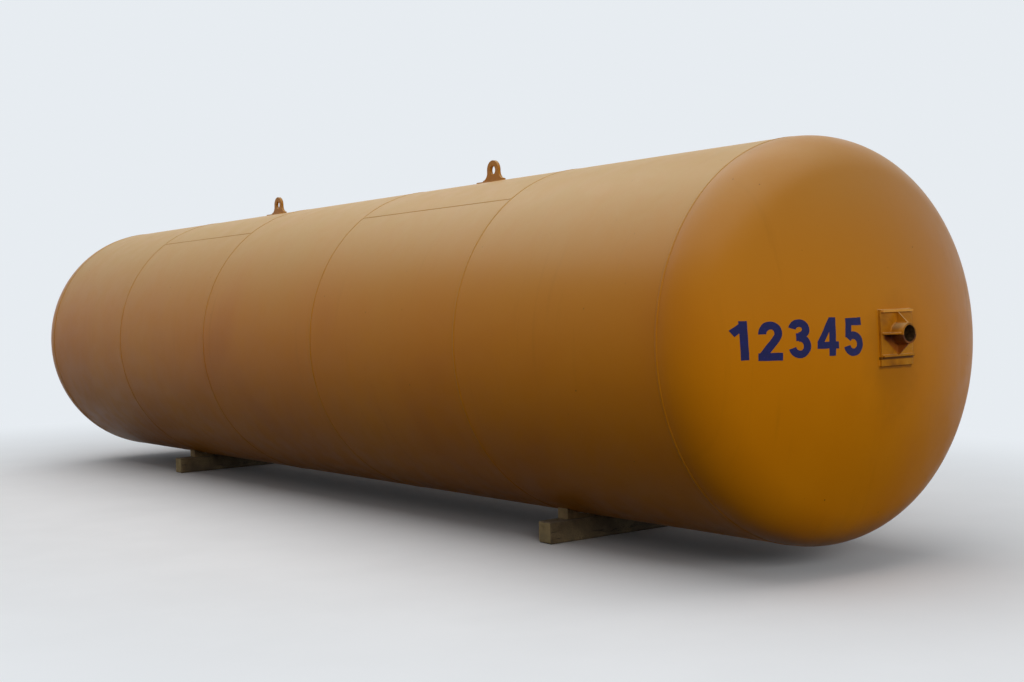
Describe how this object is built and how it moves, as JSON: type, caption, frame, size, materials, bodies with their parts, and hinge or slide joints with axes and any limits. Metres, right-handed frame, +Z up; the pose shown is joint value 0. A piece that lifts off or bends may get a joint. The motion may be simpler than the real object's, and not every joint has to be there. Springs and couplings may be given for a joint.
{
  "type": "horizontal pressure tank",
  "caption": "Horizontal painted steel pressure tank with dished heads, a ribbed end nozzle and crown lifting lugs, lying on timber sleepers with wedges.",
  "frame": {"origin": "middle of the tank's length and width, at the underside of the sleepers", "axes": "+Z up, Y along the tank with the nozzle facing -Y, X across the tank"},
  "size_m": [2.407, 11.3704, 2.716],
  "materials": {
    "tank_paint": "semi-gloss orange-yellow enamel over rolled plate, dusty",
    "sleeper_timber": "weathered sawn timber",
    "wedge_timber": "fresh sawn timber"
  },
  "bodies": {
    "root": {"front_head": "tank_paint", "rear_head": "tank_paint", "shell_course_1": "tank_paint", "shell_course_2": "tank_paint", "shell_course_3": "tank_paint", "shell_course_4": "tank_paint", "shell_course_5": "tank_paint", "front_head_weld": "tank_paint", "girth_weld_1": "tank_paint", "girth_weld_2": "tank_paint", "girth_weld_3": "tank_paint", "girth_weld_4": "tank_paint", "rear_head_weld": "tank_paint", "long_weld_1": "tank_paint", "long_weld_2": "tank_paint", "long_weld_3": "tank_paint", "long_weld_4": "tank_paint", "long_weld_5": "tank_paint", "nozzle_pipe": "tank_paint", "nozzle_pad": "tank_paint", "nozzle_rib_top": "tank_paint", "nozzle_rib_bottom": "tank_paint", "nozzle_rib_left": "tank_paint", "nozzle_rib_right": "tank_paint", "nozzle_ledge_top": "tank_paint", "nozzle_ledge_bottom": "tank_paint", "front_lug": "tank_paint", "front_lug_pad": "tank_paint", "rear_lug": "tank_paint", "rear_lug_pad": "tank_paint", "front_sleeper": "sleeper_timber", "rear_sleeper": "sleeper_timber", "front_wedge_left": "wedge_timber", "front_wedge_right": "wedge_timber", "rear_wedge_left": "wedge_timber", "rear_wedge_right": "wedge_timber"}
  },
  "joints": []
}
